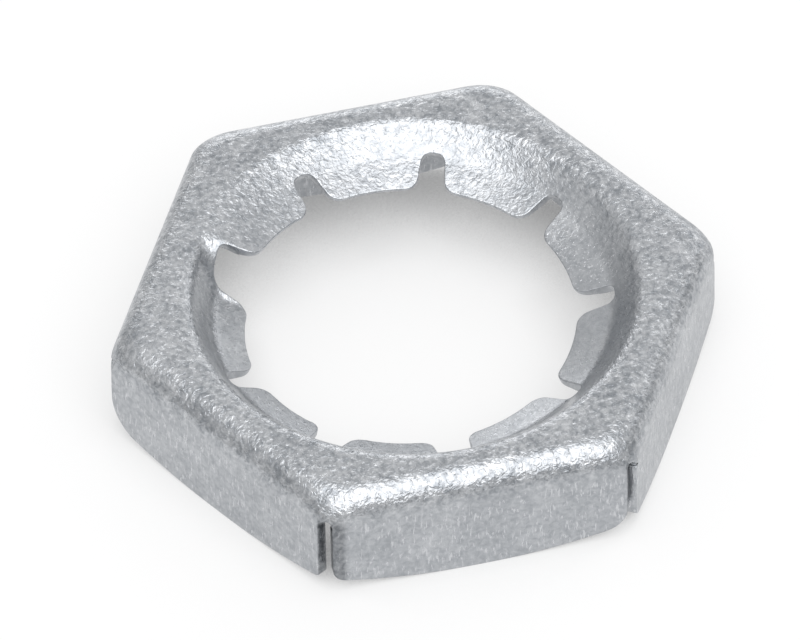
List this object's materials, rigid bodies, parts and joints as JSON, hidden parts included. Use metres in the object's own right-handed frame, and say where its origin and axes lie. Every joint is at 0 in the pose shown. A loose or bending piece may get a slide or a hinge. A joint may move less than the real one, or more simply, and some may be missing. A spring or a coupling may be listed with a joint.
{
  "type": "stamped self-locking counter nut",
  "caption": "Hexagonal self-locking counter nut folded from spring steel sheet, with a rolled mouth and spring tongues on a helix that grip the thread of a bolt.",
  "frame": {"origin": "on the axis of the thread, level with the lowest edges of the walls", "axes": "+Z along the axis of the thread towards the closed bearing face, +X through a corner slit between two walls, +Y square to the middle of a wall"},
  "size_m": [0.0342, 0.03, 0.0068],
  "materials": {
    "zinc_coated_steel": "dull zinc coating on spring steel sheet, finely mottled"
  },
  "bodies": {
    "root": {"lock_nut": "zinc_coated_steel"}
  },
  "joints": []
}
